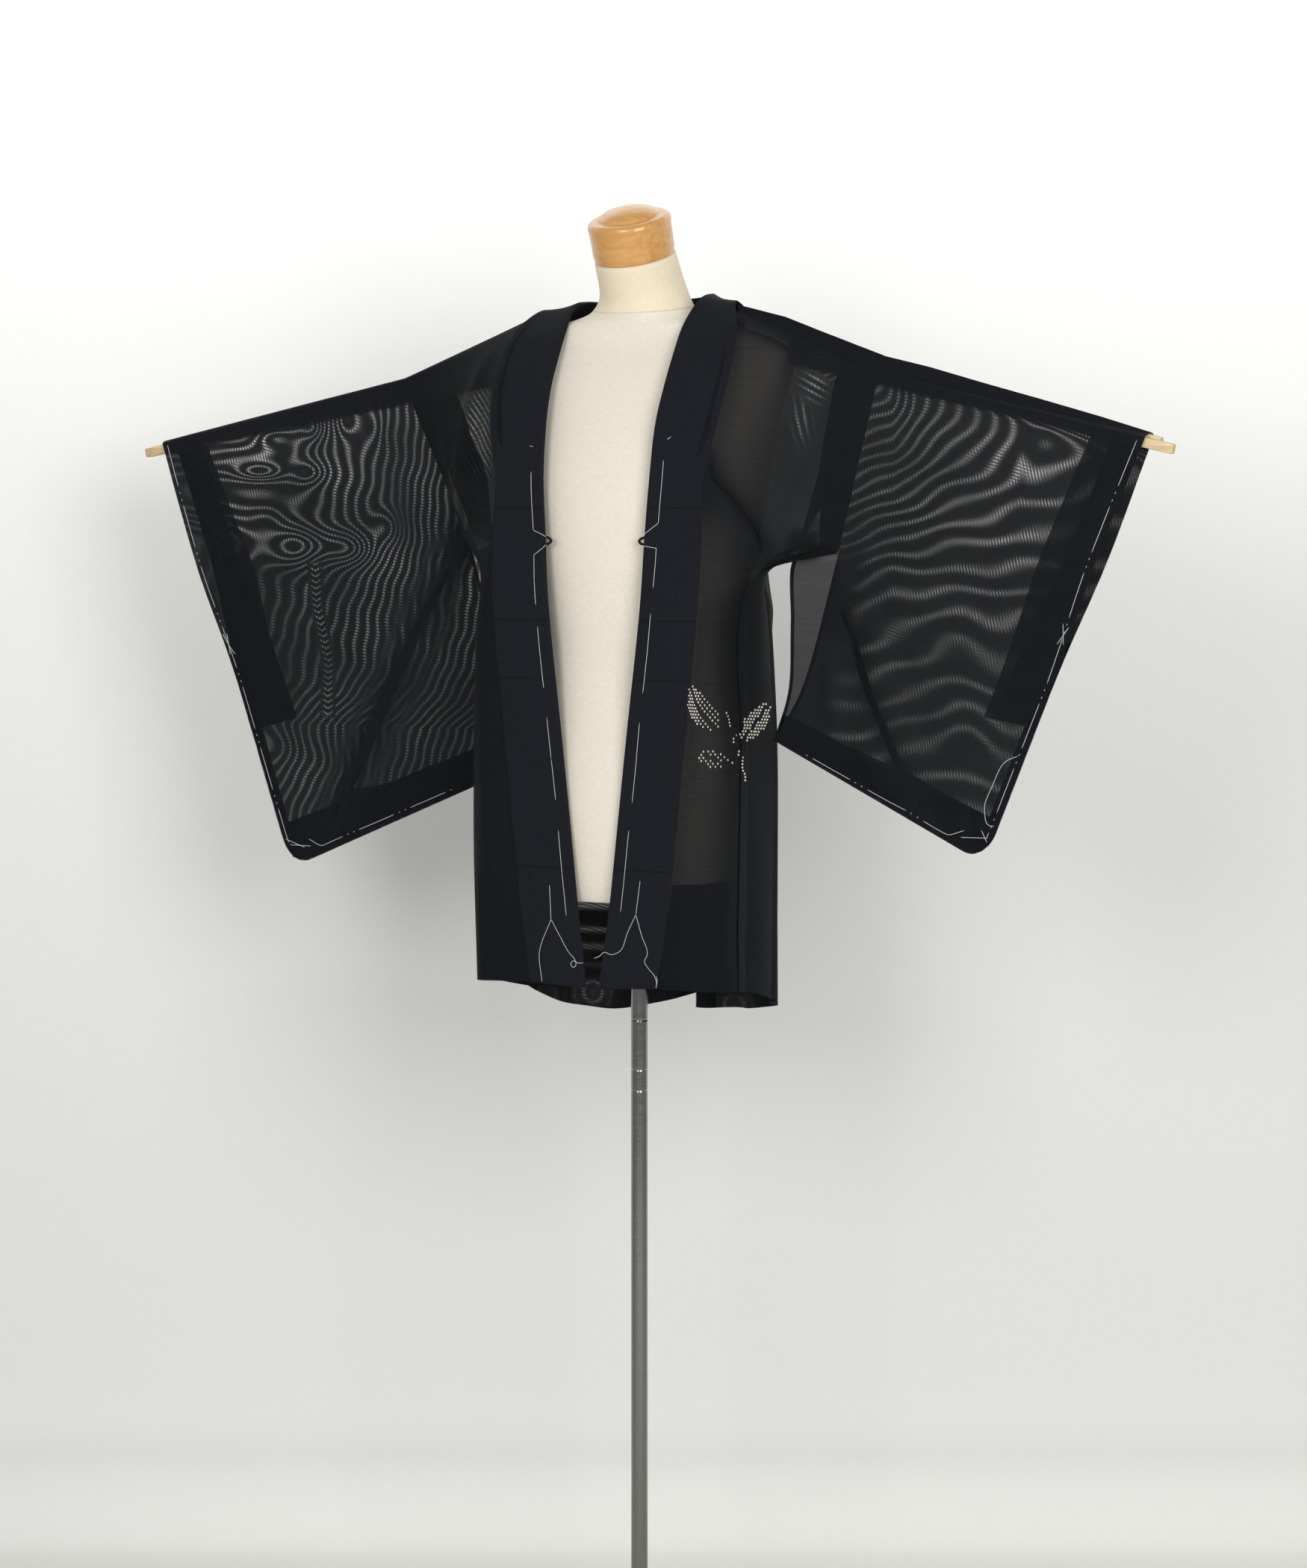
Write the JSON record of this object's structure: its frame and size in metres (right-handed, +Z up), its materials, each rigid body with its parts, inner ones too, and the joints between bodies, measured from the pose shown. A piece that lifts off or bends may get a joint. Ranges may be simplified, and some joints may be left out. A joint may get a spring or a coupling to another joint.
{
  "type": "haori jacket on a dress form and pole stand",
  "caption": "Sheer unlined haori jacket hung open on a limbless dress form with a wooden neck cap, its sleeves spread on wooden slats, on a pole stand.",
  "frame": {"origin": "centre of the stand's foot, on its underside", "axes": "+Z up along the pole; the form faces -Y; the wearer's left sleeve is on the +X side"},
  "size_m": [1.2769, 0.32, 1.5929],
  "materials": {
    "black_gauze": "sheer, matt, with a faint sheen",
    "black_gauze_doubled": "two to four layers, near opaque, matt",
    "cream_linen": "plain weave, matt",
    "varnished_wood": "clear gloss varnish",
    "pale_wood": "planed, unvarnished",
    "chromed_steel": "polished"
  },
  "bodies": {
    "root": {"body_left": "black_gauze", "body_right": "black_gauze", "gusset_left": "black_gauze", "gusset_right": "black_gauze", "sleeve_left": "black_gauze", "sleeve_right": "black_gauze", "collar": "black_gauze_doubled", "loop_left": "black_gauze_doubled", "loop_right": "black_gauze_doubled", "form_torso": "cream_linen", "form_cap": "varnished_wood", "stand_base": "chromed_steel", "stand_pole": "chromed_steel", "slat_left_front": "pale_wood", "slat_left_rear": "pale_wood", "slat_right_front": "pale_wood", "slat_right_rear": "pale_wood"}
  },
  "joints": []
}
